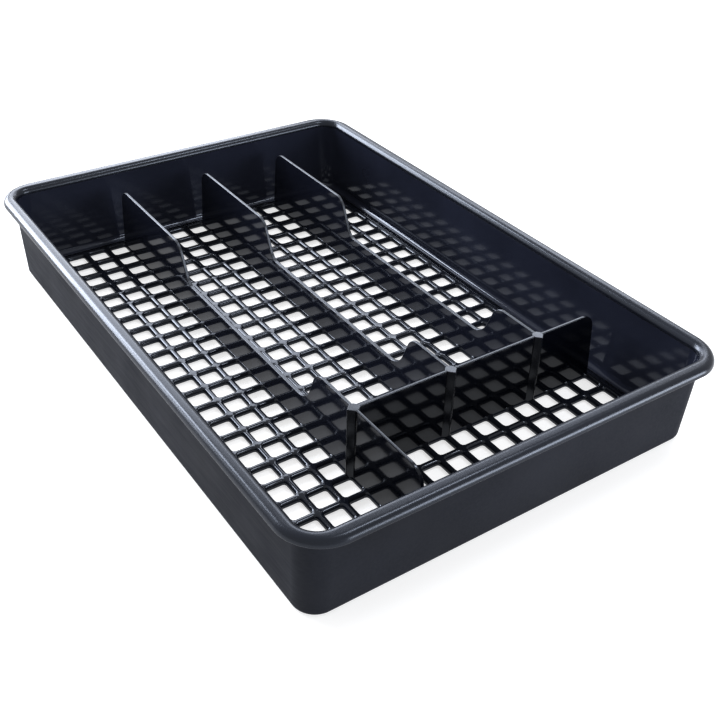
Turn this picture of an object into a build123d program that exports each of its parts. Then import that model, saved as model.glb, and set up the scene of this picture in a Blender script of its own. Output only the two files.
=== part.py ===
from build123d import *
import os
from math import atan2, degrees

# Cutlery tray for a kitchen drawer, moulded in one piece of glossy black plastic.
# Each moulded feature is a solid of its own, and the solids meet face to face.
# Sizes are in millimetres. The origin is under the middle of the tray, where it stands.
# +X runs across the tray to the right, +Y along it to the far end, and +Z up.

# Whole tray
tray_width = 260.4
tray_length = 383.0
tray_height = 55.4

# Rim: a flat flange, rounded along both edges, with a short skirt hanging from it
flange_thick = 2.1
skirt_thick = 1.9
skirt_depth = 4.2
rim_corner_radius = 23.5
rim_outer_round = 1.9
rim_inner_round = 3.6
neck_chamfer = 0.9
overhang_sides = 6.8
overhang_ends = 9.1

# Walls: they lean out a little towards the rim and stand on a narrow foot ring
wall_thick = 2.1
wall_lean = 1.1
foot_corner_radius = 12.3
foot_outer_round = 3.5
foot_inner_chamfer = 2.6
foot_ring_width = 2.6
foot_height = 1.1

# Floor grille: bars of one width that leave evenly spaced holes between plain margins
bar_width = 3.0
side_margin = 5.2
end_margin = 4.2
hole_columns = 15
hole_rows = 23
floor_thick = 2.8

# Compartments, counted in holes
left_columns = 4
middle_columns = 4
front_rows = 4

# Dividers: thin panels that taper upwards, with free ends clear of the walls
divider_foot_thick = 2.6
divider_crest_thick = 1.8
crest_height = 46.0
divider_end_gap = 7.4
divider_end_lean = 3.8
divider_end_round = 9.0

# Dip in the top edge of each long divider, where fingers reach the cutlery
dip_height = 22.2
far_shoulder_length = 90.7
far_flank_run = 11.1
far_shoulder_round = 9.3
far_dip_round = 7.0
near_shoulder_length = 33.8
near_flank_run = 9.2
near_shoulder_round = 9.0
near_dip_round = 13.0

# Posts: diamonds in plan, flat where a divider meets them
post_half_diagonal = 4.4
post_edge_round = 0.8

# Every cut runs past the faces that it goes through by this much
overrun = 2.0

# Places worked out from the sizes above
rim_half_x = tray_width / 2
rim_half_y = tray_length / 2
wall_top = tray_height - skirt_depth
foot_half_x = rim_half_x - overhang_sides - wall_lean
foot_half_y = rim_half_y - overhang_ends - wall_lean
corner_y = foot_half_y - foot_corner_radius
floor_inset = foot_outer_round + foot_ring_width
floor_half_x = foot_half_x - floor_inset
floor_half_y = foot_half_y - floor_inset
floor_top = foot_height + floor_thick
column_pitch = (2 * (floor_half_x - side_margin) + bar_width) / hole_columns
row_pitch = (2 * (floor_half_y - end_margin) + bar_width) / hole_rows
left_line = (left_columns - hole_columns / 2) * column_pitch
middle_line = left_line + middle_columns * column_pitch
right_line = middle_line + middle_columns * column_pitch
cross_line = (front_rows - hole_rows / 2) * row_pitch
post_flat = post_half_diagonal - divider_foot_thick / 2
free_end_x = foot_half_x - wall_thick - divider_end_gap
free_end_y = foot_half_y - wall_thick - divider_end_gap
up = Vector(0, 0, 1)
left, right = Vector(-1, 0, 0), Vector(1, 0, 0)
near, far = Vector(0, -1, 0), Vector(0, 1, 0)


def rounded_block(half_x, half_y, corner_radius, low, high, lean=0):
    """A block with rounded corners whose sides lean out by lean between low and high."""
    outline = Plane.XY.offset(low) * RectangleRounded(2 * half_x, 2 * half_y, corner_radius)
    return extrude(outline, amount=high - low, taper=-degrees(atan2(lean, high - low)))


def lean_at(height):
    """How far a wall has leaned out at a height above the foot."""
    return wall_lean * height / wall_top


def make_rim():
    """The flange and skirt, with the top of the wall that they hang from."""
    neck_half_x = foot_half_x + wall_lean
    neck_half_y = foot_half_y + wall_lean
    neck_radius = foot_corner_radius + wall_lean
    body = rounded_block(rim_half_x, rim_half_y, rim_corner_radius, wall_top, tray_height)
    body -= rounded_block(
        neck_half_x - wall_thick,
        neck_half_y - wall_thick,
        neck_radius - wall_thick,
        wall_top - overrun,
        tray_height + overrun,
    )
    flange_under = tray_height - flange_thick
    groove = rounded_block(
        rim_half_x - skirt_thick,
        rim_half_y - skirt_thick,
        rim_corner_radius - skirt_thick,
        wall_top - overrun,
        flange_under,
    )
    groove -= rounded_block(neck_half_x, neck_half_y, neck_radius, wall_top - overrun, flange_under)
    neck_edges = groove.faces().sort_by(Axis.Z)[-1].inner_wires()[0].edges()
    body -= chamfer(neck_edges, neck_chamfer)
    body = fillet(body.faces().sort_by(Axis.Z)[-1].inner_wires()[0].edges(), rim_inner_round)
    return fillet(body.faces().sort_by(Axis.Z)[-1].outer_wire().edges(), rim_outer_round)


def make_wall_ring():
    """All the walls with the foot ring under them, as far up as the rim."""
    ring = rounded_block(foot_half_x, foot_half_y, foot_corner_radius, 0, wall_top, wall_lean)
    ring = fillet(ring.faces().sort_by(Axis.Z)[0].edges(), foot_outer_round)
    inset = wall_thick - lean_at(floor_top)
    cavity_top = wall_top + overrun
    cavity = rounded_block(
        foot_half_x - inset,
        foot_half_y - inset,
        foot_corner_radius - inset,
        floor_top,
        cavity_top,
        lean_at(cavity_top - floor_top),
    )
    ring -= chamfer(cavity.faces().sort_by(Axis.Z)[0].edges(), foot_inner_chamfer)
    floor_corner_radius = foot_corner_radius - floor_inset
    return ring - rounded_block(
        floor_half_x, floor_half_y, floor_corner_radius, -overrun, floor_top + overrun
    )


def part_of_ring(ring, x_low, x_high, y_low, y_high):
    """The stretch of the wall ring that stands over one rectangle of the ground."""
    window = Box(x_high - x_low, y_high - y_low, wall_top, align=Align.MIN)
    return ring & (Pos(x_low, y_low) * window)


def make_floor_panel(x_low, x_high, y_low, y_high):
    """The grille over one compartment, between the lines that its dividers stand on."""
    whole = RectangleRounded(2 * floor_half_x, 2 * floor_half_y, foot_corner_radius - floor_inset)
    panel = Rectangle(x_high - x_low, y_high - y_low, align=Align.MIN)
    outline = whole & (Pos(x_low, y_low) * panel)
    columns = [(n - (hole_columns - 1) / 2) * column_pitch for n in range(hole_columns)]
    rows = [(n - (hole_rows - 1) / 2) * row_pitch for n in range(hole_rows)]
    holes = [
        Pos(x, y) * Rectangle(column_pitch - bar_width, row_pitch - bar_width)
        for x in columns
        for y in rows
        if x_low < x < x_high and y_low < y < y_high
    ]
    return extrude(Plane.XY.offset(foot_height) * (outline - holes), amount=floor_thick)


def make_divider(start_x, start_y, run, corners, rounds):
    """A panel that stands on the floor along run, with its outline given by corners."""
    across = run.cross(up)
    face = make_face(FilletPolyline(corners, radius=rounds, close=True))
    outline = Plane(origin=(start_x, start_y, 0), x_dir=run, z_dir=across) * face
    panel = extrude(outline, amount=divider_foot_thick / 2, both=True)
    section = Polygon(
        (-divider_foot_thick / 2, floor_top),
        (divider_foot_thick / 2, floor_top),
        (divider_crest_thick / 2, crest_height),
        (-divider_crest_thick / 2, crest_height),
        align=None,
    )
    section = Plane(origin=(start_x, start_y, 0), x_dir=across, z_dir=-run) * section
    return panel & extrude(section, amount=tray_length, both=True)


def make_long_divider(line_x):
    """A long divider from its post to the far end, with the dip in its top edge."""
    length = free_end_y - cross_line
    corners = [
        (post_flat, floor_top),
        (length, floor_top),
        (length - divider_end_lean, crest_height),
        (length - far_shoulder_length, crest_height),
        (length - far_shoulder_length - far_flank_run, dip_height),
        (near_shoulder_length + near_flank_run, dip_height),
        (near_shoulder_length, crest_height),
        (post_flat, crest_height),
    ]
    dip_rounds = [far_shoulder_round, far_dip_round, near_dip_round, near_shoulder_round]
    rounds = [0, 0, divider_end_round, *dip_rounds, 0]
    return make_divider(line_x, cross_line, far, corners, rounds)


def make_end_panel(line_x, run, length):
    """A full-height panel from a post to a free end with one rounded corner."""
    corners = [
        (post_flat, floor_top),
        (length, floor_top),
        (length - divider_end_lean, crest_height),
        (post_flat, crest_height),
    ]
    return make_divider(line_x, cross_line, run, corners, [0, 0, divider_end_round, 0])


def make_joining_panel(line_x, length):
    """A full-height panel of the cross divider from one post to the next."""
    corners = [
        (post_flat, floor_top),
        (length - post_flat, floor_top),
        (length - post_flat, crest_height),
        (post_flat, crest_height),
    ]
    return make_divider(line_x, cross_line, right, corners, 0)


def make_post(line_x, open_side):
    """A diamond post. Its open side keeps a rounded edge and the rest end in flats."""
    corners = []
    for side in (right, far, left, near):
        along = side.cross(up) * (divider_foot_thick / 2)
        if side == open_side:
            corners.append(side * post_half_diagonal)
        else:
            corners += [side * post_flat + along, side * post_flat - along]
    outline = Polygon(*[(corner.X, corner.Y) for corner in corners], align=None)
    edge = outline.vertices().sort_by_distance(open_side * post_half_diagonal)[0]
    outline = fillet(edge, post_edge_round)
    base = Plane(origin=(line_x, cross_line, floor_top)) * outline
    return extrude(base, amount=crest_height - floor_top)


def make_parts():
    """Every feature of the moulding, by name."""
    ring = make_wall_ring()
    edge_x = foot_half_x + wall_lean + overrun
    edge_y = foot_half_y + wall_lean + overrun
    step = middle_line - left_line
    return {
        "rim": make_rim(),
        "wall_left": part_of_ring(ring, -edge_x, 0, -corner_y, corner_y),
        "wall_right": part_of_ring(ring, 0, edge_x, -corner_y, corner_y),
        "wall_near": part_of_ring(ring, -edge_x, edge_x, -edge_y, -corner_y),
        "wall_far": part_of_ring(ring, -edge_x, edge_x, corner_y, edge_y),
        "floor_left": make_floor_panel(-floor_half_x, left_line, -floor_half_y, floor_half_y),
        "floor_middle_left": make_floor_panel(left_line, middle_line, cross_line, floor_half_y),
        "floor_middle_right": make_floor_panel(middle_line, right_line, cross_line, floor_half_y),
        "floor_right": make_floor_panel(right_line, floor_half_x, cross_line, floor_half_y),
        "floor_front": make_floor_panel(left_line, floor_half_x, -floor_half_y, cross_line),
        "divider_left": make_long_divider(left_line),
        "divider_middle": make_long_divider(middle_line),
        "divider_right": make_long_divider(right_line),
        "divider_front": make_end_panel(left_line, near, free_end_y + cross_line),
        "cross_panel_left": make_joining_panel(left_line, step),
        "cross_panel_middle": make_joining_panel(middle_line, step),
        "cross_panel_right": make_end_panel(right_line, right, free_end_x - right_line),
        "post_left": make_post(left_line, left),
        "post_middle": make_post(middle_line, near),
        "post_right": make_post(right_line, near),
    }


os.makedirs("parts", exist_ok=True)
for name, solid in make_parts().items():
    export_step(solid, f"parts/{name}.step")
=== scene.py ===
from math import acos, atan2, cos, pi, sin, tan

import bmesh
import bpy
from mathutils import Matrix, Vector


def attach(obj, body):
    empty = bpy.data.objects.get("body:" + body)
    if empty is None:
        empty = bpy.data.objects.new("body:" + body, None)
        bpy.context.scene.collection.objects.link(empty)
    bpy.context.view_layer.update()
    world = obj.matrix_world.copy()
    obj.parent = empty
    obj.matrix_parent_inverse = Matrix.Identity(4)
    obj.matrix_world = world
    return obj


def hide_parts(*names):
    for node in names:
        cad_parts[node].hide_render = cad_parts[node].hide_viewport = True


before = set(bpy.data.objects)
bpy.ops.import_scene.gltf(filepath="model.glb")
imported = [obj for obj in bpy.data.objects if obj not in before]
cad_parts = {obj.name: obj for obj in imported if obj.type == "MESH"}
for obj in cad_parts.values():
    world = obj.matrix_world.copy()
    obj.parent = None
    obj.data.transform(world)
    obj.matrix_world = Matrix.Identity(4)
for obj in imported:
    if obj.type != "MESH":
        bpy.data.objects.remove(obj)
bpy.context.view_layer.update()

# A cutlery tray for a kitchen drawer, injection moulded in one piece of black polypropylene.
# Every length is in metres, in the frame of the imported model: the origin is under the middle of
# the tray, +X runs across it to the right, +Y along it to the far end, and +Z up.


# Walls
# Four walls and the narrow foot under them are one thin shell, which leans outwards so that the
# tray leaves its mould, the end walls a little more than the sides. The mould is polished inside
# and left satin on the outside faces, and the inside faces are painted lighter: a painted sheen.

mm = 0.001
foot_half_x = 122.3 * mm
foot_half_y = 181.3 * mm
foot_corner_radius = 12.3 * mm
foot_outer_round = 3.5 * mm
foot_inner_round = 3.5 * mm
foot_ring_inset = 6.1 * mm
wall_thick = 2.1 * mm
wall_lean = 1.1 * mm
end_extra_lean = 1.4 * mm
wall_top = 51.2 * mm
floor_top = 3.9 * mm
corner_steps = 24
foot_steps = 6

# The inner faces are painted over twice as light as the rim and floor of the same plastic: a
# painted sheen of light inside the tray.
inside_sheen_colour = (0.0220, 0.0250, 0.0390)
satin_colour = (0.0175, 0.0190, 0.0250)
polymer_index = 1.5
# Reflections are tinted a cold blue: a painted tint that stands in for the cold cast of the light.
painted_cold_reflection_tint = (0.88, 0.93, 1.0, 1.0)
pigment_patch = 60 * mm
darkest_pigment = 0.82
palest_pigment = 1.22
polish_patch = 22 * mm
wipe_width = 1.6 * mm
wipe_stretch = 0.06
brightest_polish = 0.88
dullest_polish = 1.14
satin_roughness = 0.58
polished_roughness = 0.1
satin_gloss = 0.15
full_gloss = 0.5


def add_shader_node(nodes, kind, inputs=None, **settings):
    """A shader node with its settings, and with each input given as a value or a link."""
    node = nodes.new(kind)
    for name, value in settings.items():
        setattr(node, name, value)
    for name, value in (inputs or {}).items():
        if isinstance(value, bpy.types.NodeSocket):
            node.id_data.links.new(value, node.inputs[name])
        else:
            node.inputs[name].default_value = value
    return node


def mould_finish(
    name, colour, roughness, gloss, grain_size, grain_depth, ripple_size, ripple_depth
):
    """Black polypropylene as the mould leaves it: faint flow ripples, grain and handling marks."""
    material = bpy.data.materials.new(name)
    material.use_nodes = True
    nodes = material.node_tree.nodes
    surface = nodes["Principled BSDF"]
    surface.inputs["IOR"].default_value = polymer_index
    surface.inputs["Specular IOR Level"].default_value = gloss
    # The reflections take a painted cold tint.
    surface.inputs["Specular Tint"].default_value = painted_cold_reflection_tint
    place = add_shader_node(nodes, "ShaderNodeTexCoord").outputs["Object"]

    # Pigment: a little uneven over the length of a hand
    pigment = add_shader_node(
        nodes, "ShaderNodeTexNoise", {"Vector": place, "Scale": 1 / pigment_patch, "Detail": 3.0}
    )
    shade = add_shader_node(nodes, "ShaderNodeValToRGB", {"Fac": pigment.outputs[0]})
    for stop, position, share in zip(
        shade.color_ramp.elements, (0.3, 0.7), (darkest_pigment, palest_pigment)
    ):
        stop.position = position
        stop.color = tuple(share * part for part in colour) + (1.0,)
    material.node_tree.links.new(shade.outputs["Color"], surface.inputs["Base Color"])

    # Gloss: clouds of slightly duller polish, and thin wipe marks along the tray
    clouds = add_shader_node(
        nodes, "ShaderNodeTexNoise", {"Vector": place, "Scale": 1 / polish_patch, "Detail": 5.0}
    )
    stretch = add_shader_node(
        nodes, "ShaderNodeMapping", {"Vector": place, "Scale": (1.0, wipe_stretch, 1.0)}
    )
    wipes = add_shader_node(
        nodes,
        "ShaderNodeTexNoise",
        {"Vector": stretch.outputs[0], "Scale": 1 / wipe_width, "Detail": 2.0},
    )
    marks = add_shader_node(
        nodes,
        "ShaderNodeMath",
        {0: clouds.outputs[0], 1: wipes.outputs[0]},
        operation="MULTIPLY",
    )
    dullness = add_shader_node(
        nodes,
        "ShaderNodeMapRange",
        {
            "Value": marks.outputs[0],
            "From Min": 0.1,
            "From Max": 0.45,
            "To Min": brightest_polish * roughness,
            "To Max": dullest_polish * roughness,
        },
    )
    material.node_tree.links.new(dullness.outputs[0], surface.inputs["Roughness"])

    # Relief: flow ripples first, then the grain of the mould
    ripples = add_shader_node(
        nodes, "ShaderNodeTexNoise", {"Vector": place, "Scale": 1 / ripple_size, "Detail": 1.5}
    )
    rippled = add_shader_node(
        nodes,
        "ShaderNodeBump",
        {"Height": ripples.outputs[0], "Distance": ripple_depth, "Strength": 1.0},
    )
    grain = add_shader_node(
        nodes, "ShaderNodeTexNoise", {"Vector": place, "Scale": 1 / grain_size, "Detail": 2.0}
    )
    grained = add_shader_node(
        nodes,
        "ShaderNodeBump",
        {
            "Height": grain.outputs[0],
            "Distance": grain_depth,
            "Strength": 1.0,
            "Normal": rippled.outputs[0],
        },
    )
    material.node_tree.links.new(grained.outputs[0], surface.inputs["Normal"])
    return material


satin_outside = mould_finish(
    "satin_outside",
    satin_colour,
    roughness=satin_roughness,
    gloss=satin_gloss,
    grain_size=0.5 * mm,
    grain_depth=0.006 * mm,
    ripple_size=35 * mm,
    ripple_depth=0.06 * mm,
)
polished_wall_painted_sheen = mould_finish(
    "polished_wall_painted_sheen",
    inside_sheen_colour,
    roughness=polished_roughness,
    gloss=full_gloss,
    grain_size=0.4 * mm,
    grain_depth=0.0008 * mm,
    ripple_size=14 * mm,
    ripple_depth=0.05 * mm,
)


def new_tree(name, sizes):
    """A geometry tree with one named input for each size, and the sockets that carry them."""
    tree = bpy.data.node_groups.new(name, "GeometryNodeTree")
    for label, value in sizes.items():
        kind = "NodeSocketFloat"
        if isinstance(value, int):
            kind = "NodeSocketInt"
        if isinstance(value, bpy.types.Material):
            kind = "NodeSocketMaterial"
        tree.interface.new_socket(name=label, in_out="INPUT", socket_type=kind)
    tree.interface.new_socket(
        name="Geometry", in_out="OUTPUT", socket_type="NodeSocketGeometry"
    )
    return tree, tree.nodes.new("NodeGroupInput").outputs


def add_node(tree, kind, inputs=None, **settings):
    """The first output of a new node of a geometry tree."""
    node = tree.nodes.new(kind)
    for name, value in settings.items():
        setattr(node, name, value)
    for name, value in (inputs or {}).items():
        if isinstance(value, bpy.types.NodeSocket):
            tree.links.new(value, node.inputs[name])
        else:
            node.inputs[name].default_value = value
    return node.outputs[0]


def calculate(tree, operation, first, second):
    """The result of a sum on two sizes."""
    return add_node(tree, "ShaderNodeMath", {0: first, 1: second}, operation=operation)


def draw_section(tree, corners, closed, steps):
    """A section curve through corners, each of them (outwards, height, rounding)."""
    index = add_node(tree, "GeometryNodeInputIndex")
    place = tree.nodes.new("GeometryNodeIndexSwitch")
    place.data_type = "VECTOR"
    rounding = tree.nodes.new("GeometryNodeIndexSwitch")
    rounding.data_type = "FLOAT"
    for switch in (place, rounding):
        tree.links.new(index, switch.inputs["Index"])
        while len(switch.index_switch_items) < len(corners):
            switch.index_switch_items.new()
    for number, (outwards, height, radius) in enumerate(corners):
        downwards = calculate(tree, "MULTIPLY", height, -1.0)
        point = add_node(tree, "ShaderNodeCombineXYZ", {"X": outwards, "Y": downwards})
        tree.links.new(point, place.inputs[number + 1])
        if isinstance(radius, bpy.types.NodeSocket):
            tree.links.new(radius, rounding.inputs[number + 1])
    line = add_node(tree, "GeometryNodeMeshLine", {"Count": len(corners)})
    placed = add_node(
        tree, "GeometryNodeSetPosition", {"Geometry": line, "Position": place.outputs[0]}
    )
    curve = add_node(tree, "GeometryNodeMeshToCurve", {"Mesh": placed})
    curve = add_node(
        tree, "GeometryNodeSetSplineCyclic", {"Geometry": curve, "Cyclic": closed}
    )
    return add_node(
        tree,
        "GeometryNodeFilletCurve",
        {"Curve": curve, "Count": steps, "Radius": rounding.outputs[0], "Limit Radius": True},
        mode="POLY",
    )


def draw_outline(tree, width, length, radius, steps):
    """A rounded rectangle on the ground, run anticlockwise."""
    curve = add_node(
        tree, "GeometryNodeCurvePrimitiveQuadrilateral", {"Width": width, "Height": length}
    )
    return add_node(
        tree,
        "GeometryNodeFilletCurve",
        {"Curve": curve, "Count": steps, "Radius": radius, "Limit Radius": True},
        mode="POLY",
    )


def grow(name, tree, geometry, sizes):
    """The plain mesh that a tree makes from its sizes, as an object at the origin."""
    result = tree.nodes.new("NodeGroupOutput")
    tree.links.new(geometry, result.inputs["Geometry"])
    piece = bpy.data.objects.new(name, bpy.data.meshes.new(name + "_seed"))
    bpy.context.scene.collection.objects.link(piece)
    modifier = piece.modifiers.new("Grow", "NODES")
    modifier.node_group = tree
    for item in tree.interface.items_tree:
        if item.in_out == "INPUT":
            modifier[item.identifier] = sizes[item.name]
    depsgraph = bpy.context.evaluated_depsgraph_get()
    mesh = bpy.data.meshes.new_from_object(piece.evaluated_get(depsgraph))
    piece.modifiers.clear()
    piece.data = mesh
    mesh.name = name
    return piece


wall_sizes = {
    "Foot width": 2 * foot_half_x,
    "Foot length": 2 * foot_half_y,
    "Corner radius": foot_corner_radius,
    "Wall thickness": wall_thick,
    "Lean": wall_lean,
    "End stretch": end_extra_lean / (foot_half_y + wall_lean) / wall_top,
    "Wall top": wall_top,
    "Floor top": floor_top,
    "Ring inset": foot_ring_inset,
    "Outer rounding": foot_outer_round,
    "Inner rounding": foot_inner_round,
    "Corner steps": corner_steps,
    "Rounding steps": foot_steps,
    "Outside finish": satin_outside,
    "Inside finish": polished_wall_painted_sheen,
}
tree, size = new_tree("walls_and_foot", wall_sizes)
slope = calculate(tree, "DIVIDE", size["Lean"], size["Wall top"])
lean_at_floor = calculate(tree, "MULTIPLY", slope, size["Floor top"])
ring_inside = calculate(tree, "MULTIPLY", size["Ring inset"], -1.0)
section = draw_section(
    tree,
    [
        (0.0, 0.0, size["Outer rounding"]),
        (ring_inside, 0.0, 0.0),
        (ring_inside, size["Floor top"], 0.0),
        (
            calculate(tree, "SUBTRACT", lean_at_floor, size["Wall thickness"]),
            size["Floor top"],
            size["Inner rounding"],
        ),
        (
            calculate(tree, "SUBTRACT", size["Lean"], size["Wall thickness"]),
            size["Wall top"],
            0.0,
        ),
        (size["Lean"], size["Wall top"], 0.0),
    ],
    closed=True,
    steps=size["Rounding steps"],
)
foot_outline = draw_outline(
    tree, size["Foot width"], size["Foot length"], size["Corner radius"], size["Corner steps"]
)
shell = add_node(
    tree, "GeometryNodeCurveToMesh", {"Curve": foot_outline, "Profile Curve": section}
)
shell = add_node(tree, "GeometryNodeRealizeInstances", {"Geometry": shell})

# The end walls lean out further: each point moves along the tray in step with its height
spot = tree.nodes.new("ShaderNodeSeparateXYZ")
tree.links.new(add_node(tree, "GeometryNodeInputPosition"), spot.inputs[0])
rise = calculate(tree, "MULTIPLY", spot.outputs["Z"], size["End stretch"])
lengthwise = add_node(
    tree, "ShaderNodeCombineXYZ", {"Y": calculate(tree, "MULTIPLY", spot.outputs["Y"], rise)}
)
shell = add_node(
    tree, "GeometryNodeSetPosition", {"Geometry": shell, "Offset": lengthwise}
)

# Faces that look away from the middle of the tray are the satin ones
sideways = add_node(
    tree,
    "ShaderNodeVectorMath",
    {0: add_node(tree, "GeometryNodeInputPosition"), 1: (1.0, 1.0, 0.0)},
    operation="MULTIPLY",
)
facing = tree.nodes.new("ShaderNodeVectorMath")
facing.operation = "DOT_PRODUCT"
tree.links.new(add_node(tree, "GeometryNodeInputNormal"), facing.inputs[0])
tree.links.new(sideways, facing.inputs[1])
outside = calculate(tree, "GREATER_THAN", facing.outputs["Value"], 0.0)
shell = add_node(
    tree, "GeometryNodeSetMaterial", {"Geometry": shell, "Material": size["Inside finish"]}
)
shell = add_node(
    tree,
    "GeometryNodeSetMaterial",
    {"Geometry": shell, "Selection": outside, "Material": size["Outside finish"]},
)
walls = grow("walls", tree, shell, wall_sizes)
walls.data.shade_smooth()
walls.modifiers.new("Even shading", "WEIGHTED_NORMAL")
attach(walls, "root")
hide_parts("wall_left", "wall_right", "wall_near", "wall_far")


# Rim
# A narrow flange runs round the top of the walls, with a large rounding along both edges. A short
# skirt hangs from its outer edge and makes it stiff enough to lift the tray by.

rim_half_x = 130.2 * mm
rim_half_y = 191.5 * mm
rim_corner_radius = 23.5 * mm
tray_height = 55.4 * mm
flange_thick = 2.1 * mm
skirt_thick = 1.9 * mm
rim_inner_round = 3.8 * mm
rim_outer_round = 3.7 * mm
skirt_edge_round = 0.45 * mm
groove_round = 0.9 * mm
rim_round_steps = 9
skirt_round_steps = 3
groove_round_steps = 4
weld_distance = 0.001 * mm
polished_colour = (0.0095, 0.0115, 0.0180)
rim_roughness = 0.26

rim_finish = mould_finish(
    "rim_finish",
    polished_colour,
    roughness=rim_roughness,
    gloss=full_gloss,
    grain_size=0.45 * mm,
    grain_depth=0.0004 * mm,
    ripple_size=26 * mm,
    ripple_depth=0.05 * mm,
)


def outline_points(half_x, half_y, radius, height):
    """The points of a rounded rectangle at a height, run anticlockwise."""
    points = []
    for quarter in range(4):
        side_x = 1 if quarter in (0, 3) else -1
        side_y = 1 if quarter in (0, 1) else -1
        for step in range(corner_steps + 1):
            angle = (quarter + step / corner_steps) * pi / 2
            x = side_x * (half_x - radius) + radius * cos(angle)
            y = side_y * (half_y - radius) + radius * sin(angle)
            points.append((x, y, height))
    return points


def rounding_steps(count):
    """Angles from 0 to a quarter turn."""
    return [step / count * pi / 2 for step in range(count + 1)]


def rim_loops():
    """Each loop round the rim as (half width, half length, corner radius, height)."""
    neck_x = foot_half_x + wall_lean
    neck_y = foot_half_y + wall_lean + end_extra_lean
    neck_radius = foot_corner_radius + wall_lean
    loops = []

    def from_neck(offset, height):
        loops.append((neck_x + offset, neck_y + offset, neck_radius + offset, height))

    def from_edge(inset, height):
        loops.append(
            (rim_half_x - inset, rim_half_y - inset, rim_corner_radius - inset, height)
        )

    from_neck(-wall_thick, wall_top)
    for turn in rounding_steps(rim_round_steps):
        from_neck(
            rim_inner_round * (1 - cos(turn)) - wall_thick,
            tray_height - rim_inner_round * (1 - sin(turn)),
        )
    for turn in rounding_steps(rim_round_steps):
        from_edge(
            rim_outer_round * (1 - sin(turn)), tray_height - rim_outer_round * (1 - cos(turn))
        )
    for turn in rounding_steps(skirt_round_steps):
        from_edge(
            skirt_edge_round * (1 - cos(turn)), wall_top + skirt_edge_round * (1 - sin(turn))
        )
    for turn in rounding_steps(skirt_round_steps):
        from_edge(
            skirt_thick - skirt_edge_round * (1 - sin(turn)),
            wall_top + skirt_edge_round * (1 - cos(turn)),
        )
    flange_under = tray_height - flange_thick
    from_edge(skirt_thick, flange_under)
    for turn in rounding_steps(groove_round_steps):
        from_neck(groove_round * (1 - sin(turn)), flange_under - groove_round * (1 - cos(turn)))
    from_neck(0.0, wall_top)
    return loops


def loft(name, loops):
    """A closed hoop of faces through loops, with the last joined to the first."""
    mesh = bmesh.new()
    rings = [[mesh.verts.new(point) for point in outline_points(*loop)] for loop in loops]
    for ring, after in zip(rings, rings[1:] + rings[:1]):
        for n in range(len(ring)):
            m = (n + 1) % len(ring)
            mesh.faces.new((ring[n], ring[m], after[m], after[n]))
    bmesh.ops.remove_doubles(mesh, verts=mesh.verts, dist=weld_distance)
    bmesh.ops.recalc_face_normals(mesh, faces=mesh.faces)
    data = bpy.data.meshes.new(name)
    mesh.to_mesh(data)
    mesh.free()
    piece = bpy.data.objects.new(name, data)
    bpy.context.scene.collection.objects.link(piece)
    return piece


rim = loft("rolled_rim", rim_loops())
rim.data.materials.append(rim_finish)
rim.data.shade_smooth()
rim.modifiers.new("Even shading", "WEIGHTED_NORMAL")
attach(rim, "root")
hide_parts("rim")


# Floor grille
# The floor is a lattice of square holes with softly rounded corners, which let crumbs fall out.
# Its bars are well rounded on top, and a plain margin joins it to the foot of the walls.

foot_height = 1.1 * mm
bar_width = 3.9 * mm
side_margin = 5.65 * mm
end_margin = 4.65 * mm
hole_columns = 15
hole_rows = 23
hole_corner_radius = 1.4 * mm
hole_corner_steps = 2
bar_top_round = 1.65 * mm
bar_under_round = 0.3 * mm
bar_edge_steps = 3
floor_half_x = foot_half_x - foot_ring_inset
floor_half_y = foot_half_y - foot_ring_inset
column_pitch = (2 * (floor_half_x - side_margin) + bar_width) / hole_columns
row_pitch = (2 * (floor_half_y - end_margin) + bar_width) / hole_rows

floor_finish = mould_finish(
    "floor_finish",
    polished_colour,
    roughness=polished_roughness,
    gloss=full_gloss,
    grain_size=0.4 * mm,
    grain_depth=0.0006 * mm,
    ripple_size=12 * mm,
    ripple_depth=0.03 * mm,
)

floor_sizes = {
    "Floor width": 2 * floor_half_x,
    "Floor length": 2 * floor_half_y,
    "Floor corner radius": foot_corner_radius - foot_ring_inset,
    "Underside": foot_height,
    "Floor top": floor_top,
    "Columns": hole_columns,
    "Rows": hole_rows,
    "Column pitch": column_pitch,
    "Row pitch": row_pitch,
    "Bar width": bar_width,
    "Hole corner radius": hole_corner_radius,
    "Top rounding": bar_top_round,
    "Underside rounding": bar_under_round,
    "Corner steps": corner_steps,
    "Hole corner steps": hole_corner_steps,
    "Edge steps": bar_edge_steps,
    "Finish": floor_finish,
}
tree, size = new_tree("floor_grille", floor_sizes)
hole_outline = draw_outline(
    tree,
    calculate(tree, "SUBTRACT", size["Column pitch"], size["Bar width"]),
    calculate(tree, "SUBTRACT", size["Row pitch"], size["Bar width"]),
    size["Hole corner radius"],
    size["Hole corner steps"],
)
lining_section = draw_section(
    tree,
    [
        (size["Underside rounding"], size["Underside"], 0.0),
        (0.0, size["Underside"], size["Underside rounding"]),
        (0.0, size["Floor top"], size["Top rounding"]),
        (size["Top rounding"], size["Floor top"], 0.0),
    ],
    closed=False,
    steps=size["Edge steps"],
)
lining = add_node(
    tree, "GeometryNodeCurveToMesh", {"Curve": hole_outline, "Profile Curve": lining_section}
)
lining = add_node(
    tree, "GeometryNodeMergeByDistance", {"Geometry": lining, "Distance": weld_distance}
)
column_steps = calculate(tree, "SUBTRACT", size["Columns"], 1.0)
row_steps = calculate(tree, "SUBTRACT", size["Rows"], 1.0)
lattice = add_node(
    tree,
    "GeometryNodeMeshGrid",
    {
        "Size X": calculate(tree, "MULTIPLY", size["Column pitch"], column_steps),
        "Size Y": calculate(tree, "MULTIPLY", size["Row pitch"], row_steps),
        "Vertices X": size["Columns"],
        "Vertices Y": size["Rows"],
    },
)
floor_outline = draw_outline(
    tree,
    size["Floor width"],
    size["Floor length"],
    size["Floor corner radius"],
    size["Corner steps"],
)
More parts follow.
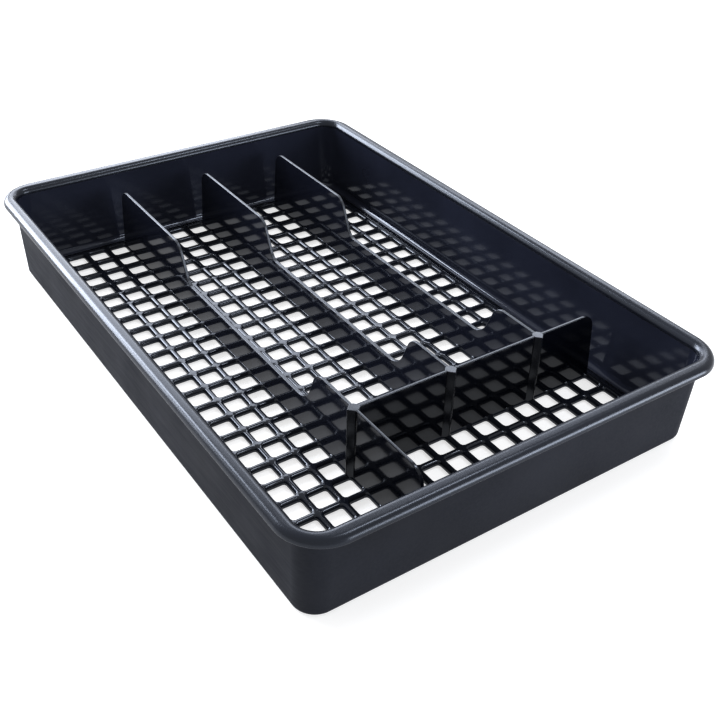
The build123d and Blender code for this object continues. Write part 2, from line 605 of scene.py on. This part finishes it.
middle_height = calculate(
    tree, "MULTIPLY", calculate(tree, "ADD", size["Underside"], size["Floor top"]), 0.5
)
place = tree.nodes.new("ShaderNodeSeparateXYZ")
tree.links.new(add_node(tree, "GeometryNodeInputPosition"), place.inputs[0])
faces_on_edge = add_node(tree, "GeometryNodeInputMeshEdgeNeighbors")
open_edge = calculate(tree, "LESS_THAN", faces_on_edge, 2.0)


def lattice_face(side, height, flipped):
    """The flat face of the lattice at a height, through the open edges on that side."""
    edge = calculate(tree, "MULTIPLY", open_edge, side)
    loop = add_node(tree, "GeometryNodeMeshToCurve", {"Mesh": lining, "Selection": edge})
    loops = add_node(tree, "GeometryNodeInstanceOnPoints", {"Points": lattice, "Instance": loop})
    loops = add_node(tree, "GeometryNodeRealizeInstances", {"Geometry": loops})
    curves = tree.nodes.new("GeometryNodeJoinGeometry")
    tree.links.new(loops, curves.inputs[0])
    tree.links.new(floor_outline, curves.inputs[0])
    face = add_node(
        tree, "GeometryNodeFillCurve", {"Curve": curves.outputs[0]}, mode="TRIANGLES"
    )
    if flipped:
        face = add_node(tree, "GeometryNodeFlipFaces", {"Mesh": face})
    lift = add_node(tree, "ShaderNodeCombineXYZ", {"Z": height})
    return add_node(
        tree, "GeometryNodeTransform", {"Geometry": face, "Translation": lift}
    )


top_side = calculate(tree, "GREATER_THAN", place.outputs["Z"], middle_height)
under_side = calculate(tree, "LESS_THAN", place.outputs["Z"], middle_height)
top_face = lattice_face(top_side, size["Floor top"], flipped=False)
under_face = lattice_face(under_side, size["Underside"], flipped=True)
linings = add_node(
    tree, "GeometryNodeInstanceOnPoints", {"Points": lattice, "Instance": lining}
)
linings = add_node(tree, "GeometryNodeRealizeInstances", {"Geometry": linings})
edge_section = draw_section(
    tree,
    [(0.0, size["Floor top"], 0.0), (0.0, size["Underside"], 0.0)],
    closed=False,
    steps=1,
)
outer_edge = add_node(
    tree, "GeometryNodeCurveToMesh", {"Curve": floor_outline, "Profile Curve": edge_section}
)
whole = tree.nodes.new("GeometryNodeJoinGeometry")
for portion in (top_face, under_face, linings, outer_edge):
    tree.links.new(portion, whole.inputs[0])
grille = add_node(
    tree,
    "GeometryNodeMergeByDistance",
    {"Geometry": whole.outputs[0], "Distance": 2 * weld_distance},
)
grille = add_node(tree, "GeometryNodeRealizeInstances", {"Geometry": grille})
grille = add_node(
    tree, "GeometryNodeSetMaterial", {"Geometry": grille, "Material": size["Finish"]}
)
floor_grille = grow("floor_grille", tree, grille, floor_sizes)
floor_grille.data.shade_smooth()
floor_grille.modifiers.new("Even shading", "WEIGHTED_NORMAL")
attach(floor_grille, "root")
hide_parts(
    "floor_left",
    "floor_middle_left",
    "floor_middle_right",
    "floor_right",
    "floor_front",
)


# Long dividers
# Three tall panels run from the cross divider to the far end, each moulded on a bar of the grille.
# They taper upwards, and a deep dip in the top edge leaves room for fingers round the cutlery.
# The edges are rubbed a little duller than the polished faces and are painted darker, a painted
# shade; the faces are painted a little lighter, a painted sheen.

left_line = -52.5 * mm
middle_line = 7.5 * mm
right_line = 67.5 * mm
cross_line = -112.5 * mm
crest_height = 46.0 * mm
divider_foot_thick = 2.6 * mm
divider_crest_thick = 1.8 * mm
divider_edge_round = 0.4 * mm
divider_end_gap = 7.4 * mm
divider_end_lean = 3.8 * mm
divider_end_round = 9.0 * mm
dip_height = 22.2 * mm
far_shoulder_length = 90.7 * mm
far_flank_run = 11.1 * mm
far_shoulder_round = 9.3 * mm
far_dip_round = 7.0 * mm
near_shoulder_length = 33.8 * mm
near_flank_run = 9.2 * mm
near_shoulder_round = 9.0 * mm
near_dip_round = 13.0 * mm
foot_sink = 1.0 * mm
post_overlap = 1.5 * mm
free_end_y = foot_half_y - wall_thick - divider_end_gap
arc_steps = 10
edge_steps = 3
edge_slot = 1
sharp_edge_angle = pi / 5
along_tray = Vector((0, 1, 0))
# The long dividers' faces are painted a little lighter than the cross panels of the same plastic:
# a painted sheen.
divider_sheen_colour = (0.0115, 0.0135, 0.0230)
# The cross panels, the front divider, the crests and the posts are painted about three times
# darker than the long dividers' faces: painted shade.
painted_shade_colour = (0.0036, 0.0044, 0.0080)

divider_sheen_finish = mould_finish(
    "divider_sheen_finish",
    divider_sheen_colour,
    roughness=0.07,
    gloss=0.4,
    grain_size=0.4 * mm,
    grain_depth=0.0008 * mm,
    ripple_size=16 * mm,
    ripple_depth=0.03 * mm,
)
# The crests take the darker colour of the cross panels: painted shade.
shaded_crest_finish = mould_finish(
    "shaded_crest_finish",
    painted_shade_colour,
    roughness=0.42,
    gloss=1.0,
    grain_size=0.4 * mm,
    grain_depth=0.0006 * mm,
    ripple_size=16 * mm,
    ripple_depth=0.02 * mm,
)


def rounded_path(corners):
    """The points of a closed outline whose corners are (along, height, rounding)."""
    points = []
    for before, (along, height, radius), after in zip(
        corners[-1:] + corners[:-1], corners, corners[1:] + corners[:1]
    ):
        corner = Vector((along, height))
        if not radius:
            points.append(corner)
            continue
        back = (Vector(before[:2]) - corner).normalized()
        ahead = (Vector(after[:2]) - corner).normalized()
        half_angle = acos(back.dot(ahead)) / 2
        centre = corner + (back + ahead).normalized() * (radius / sin(half_angle))
        start = corner + back * (radius / tan(half_angle)) - centre
        end = corner + ahead * (radius / tan(half_angle)) - centre
        first = atan2(start.y, start.x)
        swing = (atan2(end.y, end.x) - first + pi) % (2 * pi) - pi
        for step in range(arc_steps + 1):
            angle = first + swing * step / arc_steps
            points.append(centre + Vector((cos(angle), sin(angle))) * radius)
    return points


def stand_panel(name, start_x, start_y, run, corners, face_finish, edge_finish):
    """A tapered panel that stands on the grille along run, with its edges rounded."""
    outline = rounded_path(corners)
    across = Vector((run.y, -run.x, 0))
    mesh = bmesh.new()
    sides = []
    for side in (1, -1):
        face = []
        for point in outline:
            up_share = (point.y - floor_top) / (crest_height - floor_top)
            thick = divider_foot_thick + (divider_crest_thick - divider_foot_thick) * up_share
            ground = Vector((start_x, start_y, 0)) + run * point.x + across * (side * thick / 2)
            face.append(mesh.verts.new((ground.x, ground.y, point.y)))
        sides.append(face)
        mesh.faces.new(face)
    for n in range(len(outline)):
        m = (n + 1) % len(outline)
        rib = mesh.faces.new((sides[0][n], sides[0][m], sides[1][m], sides[1][n]))
        rib.material_index = edge_slot
    bmesh.ops.recalc_face_normals(mesh, faces=mesh.faces)
    data = bpy.data.meshes.new(name)
    mesh.to_mesh(data)
    mesh.free()
    data.materials.append(face_finish)
    data.materials.append(edge_finish)
    data.shade_smooth()
    piece = bpy.data.objects.new(name, data)
    bpy.context.scene.collection.objects.link(piece)
    edge = piece.modifiers.new("Rounded edges", "BEVEL")
    edge.limit_method = "ANGLE"
    edge.angle_limit = sharp_edge_angle
    edge.width = divider_edge_round
    edge.segments = edge_steps
    edge.material = edge_slot
    piece.modifiers.new("Even shading", "WEIGHTED_NORMAL")
    return piece


foot_level = floor_top - foot_sink
long_run = free_end_y - cross_line
long_corners = [
    (post_overlap, foot_level, 0),
    (long_run, foot_level, 0),
    (long_run, floor_top, 0),
    (long_run - divider_end_lean, crest_height, divider_end_round),
    (long_run - far_shoulder_length, crest_height, far_shoulder_round),
    (long_run - far_shoulder_length - far_flank_run, dip_height, far_dip_round),
    (near_shoulder_length + near_flank_run, dip_height, near_dip_round),
    (near_shoulder_length, crest_height, near_shoulder_round),
    (post_overlap, crest_height, 0),
]
for name, line in (("left", left_line), ("middle", middle_line), ("right", right_line)):
    panel = stand_panel(
        "long_divider_" + name,
        line,
        cross_line,
        along_tray,
        long_corners,
        divider_sheen_finish,
        shaded_crest_finish,
    )
    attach(panel, "root")
    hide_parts("divider_" + name)


# Front divider and cross divider
# A cross divider of three panels closes off the front compartment, which holds teaspoons, and a
# fourth panel carries the left divider's line on towards the near wall. All are full height.

across_tray = Vector((1, 0, 0))
free_end_x = foot_half_x - wall_thick - divider_end_gap

# The cross panels and the front divider are painted darker than the long dividers: painted shade.
shaded_panel_finish = mould_finish(
    "shaded_panel_finish",
    painted_shade_colour,
    roughness=0.07,
    gloss=0.4,
    grain_size=0.4 * mm,
    grain_depth=0.0008 * mm,
    ripple_size=16 * mm,
    ripple_depth=0.03 * mm,
)
shaded_panel_edge_finish = mould_finish(
    "shaded_panel_edge_finish",
    painted_shade_colour,
    roughness=0.2,
    gloss=full_gloss,
    grain_size=0.4 * mm,
    grain_depth=0.0006 * mm,
    ripple_size=16 * mm,
    ripple_depth=0.02 * mm,
)


def end_corners(length):
    """A full-height panel with one free end, which leans back and has a rounded corner."""
    return [
        (post_overlap, foot_level, 0),
        (length, foot_level, 0),
        (length, floor_top, 0),
        (length - divider_end_lean, crest_height, divider_end_round),
        (post_overlap, crest_height, 0),
    ]


def joining_corners(length):
    """A full-height panel between two posts."""
    return [
        (post_overlap, foot_level, 0),
        (length - post_overlap, foot_level, 0),
        (length - post_overlap, crest_height, 0),
        (post_overlap, crest_height, 0),
    ]


front_corners = end_corners(free_end_y + cross_line)
left_corners = joining_corners(middle_line - left_line)
middle_corners = joining_corners(right_line - middle_line)
right_corners = end_corners(free_end_x - right_line)
for name, node, line, run, corners in (
    ("front_divider", "divider_front", left_line, -along_tray, front_corners),
    ("cross_divider_left", "cross_panel_left", left_line, across_tray, left_corners),
    ("cross_divider_middle", "cross_panel_middle", middle_line, across_tray, middle_corners),
    ("cross_divider_right", "cross_panel_right", right_line, across_tray, right_corners),
):
    panel = stand_panel(
        name, line, cross_line, run, corners, shaded_panel_finish, shaded_panel_edge_finish
    )
    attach(panel, "root")
    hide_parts(node)


# Posts
# Where dividers meet, a slim post with a diamond plan stiffens the joint. Its blunt corners run
# into the panels, and the corner without a panel keeps a small rounding.

post_half_diagonal = 4.4 * mm
post_edge_round = 0.8 * mm
post_crown_round = 0.45 * mm
post_rise = 0.05 * mm
post_edge_steps = 4
post_crown_steps = 3
post_sharp_angle = pi / 6
post_flat = post_half_diagonal - divider_foot_thick / 2

# The posts take the same darker colour as the cross panels: painted shade.
shaded_post_finish = mould_finish(
    "shaded_post_finish",
    painted_shade_colour,
    roughness=0.18,
    gloss=full_gloss,
    grain_size=0.4 * mm,
    grain_depth=0.001 * mm,
    ripple_size=10 * mm,
    ripple_depth=0.02 * mm,
)


def post_outline(open_side):
    """The plan of a post, anticlockwise, with a flat on every side but the open one."""
    points = []
    for side in (across_tray, along_tray, -across_tray, -along_tray):
        along = Vector((-side.y, side.x, 0))
        if side != open_side:
            points.append(side * post_flat - along * (divider_foot_thick / 2))
            points.append(side * post_flat + along * (divider_foot_thick / 2))
            continue
        reach = post_edge_round / sin(pi / 4)
        centre = side * (post_half_diagonal - reach)
        for step in range(post_edge_steps + 1):
            angle = (step / post_edge_steps - 0.5) * pi / 2
            points.append(centre + (side * cos(angle) + along * sin(angle)) * post_edge_round)
    return points


def stand_post(name, line_x, open_side):
    """A post on the crossing of two bars, with the edge of its crown rounded."""
    mesh = bmesh.new()
    base = Vector((line_x, cross_line, floor_top - foot_sink / 2))
    top = Vector((line_x, cross_line, crest_height + post_rise))
    low = [mesh.verts.new(base + point) for point in post_outline(open_side)]
    high = [mesh.verts.new(top + point) for point in post_outline(open_side)]
    mesh.faces.new(low)
    crown = mesh.faces.new(high)
    for n in range(len(low)):
        m = (n + 1) % len(low)
        mesh.faces.new((low[n], low[m], high[m], high[n]))
    bmesh.ops.recalc_face_normals(mesh, faces=mesh.faces)
    bmesh.ops.bevel(
        mesh,
        geom=list(crown.edges),
        offset=post_crown_round,
        segments=post_crown_steps,
        profile=0.5,
        affect="EDGES",
    )
    data = bpy.data.meshes.new(name)
    mesh.to_mesh(data)
    mesh.free()
    data.materials.append(shaded_post_finish)
    data.shade_smooth()
    data.set_sharp_from_angle(angle=post_sharp_angle)
    piece = bpy.data.objects.new(name, data)
    bpy.context.scene.collection.objects.link(piece)
    shading = piece.modifiers.new("Even shading", "WEIGHTED_NORMAL")
    shading.keep_sharp = True
    return piece


for name, line, open_side in (
    ("left", left_line, -across_tray),
    ("middle", middle_line, -along_tray),
    ("right", right_line, -along_tray),
):
    post = stand_post("divider_post_" + name, line, open_side)
    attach(post, "root")
    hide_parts("post_" + name)


# Floor of the studio
# A wide sheet of matt white paper lies under the tray and runs far past the picture. It glows a
# little, so that it stays white all over.

paper_half_width = 6.0
paper_depth = 0.02 * mm
paper_colour = (0.42, 0.42, 0.42, 1.0)
paper_roughness = 0.9
paper_gloss = 0.1
paper_glow = 0.68

paper = bpy.data.materials.new("white_paper")
paper.use_nodes = True
paper_surface = paper.node_tree.nodes["Principled BSDF"]
paper_surface.inputs["Base Color"].default_value = paper_colour
paper_surface.inputs["Roughness"].default_value = paper_roughness
paper_surface.inputs["Specular IOR Level"].default_value = paper_gloss
paper_surface.inputs["Emission Color"].default_value = (1.0, 1.0, 1.0, 1.0)
paper_surface.inputs["Emission Strength"].default_value = paper_glow

sheet = bpy.data.meshes.new("white_paper")
sheet.from_pydata(
    [
        (-paper_half_width, -paper_half_width, -paper_depth),
        (paper_half_width, -paper_half_width, -paper_depth),
        (paper_half_width, paper_half_width, -paper_depth),
        (-paper_half_width, paper_half_width, -paper_depth),
    ],
    [],
    [(0, 1, 2, 3)],
)
sheet.materials.append(paper)
studio_floor = bpy.data.objects.new("studio_floor", sheet)
bpy.context.scene.collection.objects.link(studio_floor)


# Studio light
# A white room with a row of upright lights behind the tray, bright windows on the left and dimmer
# panels on the right, which the rim and the top edges mirror. A small lamp hangs overhead, and a
# low one stands at the near right.

room_strength = 0.9
light_colour = (0.87, 0.91, 1.0)
far_light_y = 2.0
towards_tray = (0.0, -1.0, 0.0)

room = bpy.data.worlds.new("white_room")
room.use_nodes = True
room.node_tree.nodes["Background"].inputs["Color"].default_value = (1.0, 1.0, 1.0, 1.0)
room.node_tree.nodes["Background"].inputs["Strength"].default_value = room_strength
bpy.context.scene.world = room


def hang_light(name, place, facing, width, height, brightness):
    """A rectangular light of an even brightness, turned to face along a direction."""
    lamp = bpy.data.lights.new(name, "AREA")
    lamp.shape = "RECTANGLE"
    lamp.size = width
    lamp.size_y = height
    lamp.energy = brightness * width * height * pi
    lamp.color = light_colour
    light = bpy.data.objects.new(name, lamp)
    light.location = place
    light.rotation_euler = Vector(facing).to_track_quat("-Z", "Y").to_euler()
    light.visible_camera = False
    bpy.context.scene.collection.objects.link(light)


for name, left, right, low, high, brightness in (
    ("window_left", -1.65, -1.06, 0.30, 1.40, 16.0),
    ("window_right", -1.06, -0.35, 0.30, 2.40, 18.0),
    ("window_side", -0.35, 0.06, 0.30, 1.90, 8.0),
    ("back_panel", 0.06, 1.35, 1.00, 2.00, 5.0),
    ("low_strip", 0.25, 1.10, 0.50, 1.00, 6.5),
    ("right_panel", 1.35, 3.50, 1.15, 1.75, 3.4),
    ("right_strip", 1.40, 3.70, 1.75, 2.40, 6.5),
):
    middle = ((left + right) / 2, far_light_y, (low + high) / 2)
    hang_light(name, middle, towards_tray, right - left, high - low, brightness)

hang_light(
    "overhead",
    place=(0.42, -0.15, 1.0),
    facing=(0.0, 0.0, -1.0),
    width=0.30,
    height=0.22,
    brightness=15.0,
)
hang_light(
    "front_right",
    place=(0.62, -1.00, 0.22),
    facing=(-0.62, 0.80, 0.0),
    width=0.70,
    height=0.42,
    brightness=11.0,
)


# Camera
# It looks down over the near left corner of the tray, as the photograph does. The gamma deepens
# the blacks of the picture as the photograph's do.

camera_place = Vector((-0.2713, -0.4263, 0.3451))
camera_forward = Vector((0.4705, 0.66676, -0.57798)).normalized()
camera_roll = 0.0336
camera_lens = 49.93
sensor_width = 36.0
nearest_seen = 10 * mm
picture_gamma = 0.8

level_right = camera_forward.cross(Vector((0, 0, 1))).normalized()
level_up = level_right.cross(camera_forward)
camera_right = level_right * cos(camera_roll) + level_up * sin(camera_roll)
camera_up = level_up * cos(camera_roll) - level_right * sin(camera_roll)
turn = Matrix((camera_right, camera_up, -camera_forward)).transposed()
camera_data = bpy.data.cameras.new("camera")
camera_data.lens = camera_lens
camera_data.sensor_width = sensor_width
camera_data.clip_start = nearest_seen
camera = bpy.data.objects.new("camera", camera_data)
camera.matrix_world = Matrix.Translation(camera_place) @ turn.to_4x4()
bpy.context.scene.collection.objects.link(camera)
bpy.context.scene.camera = camera
bpy.context.scene.view_settings.view_transform = "Standard"
bpy.context.scene.view_settings.gamma = picture_gamma
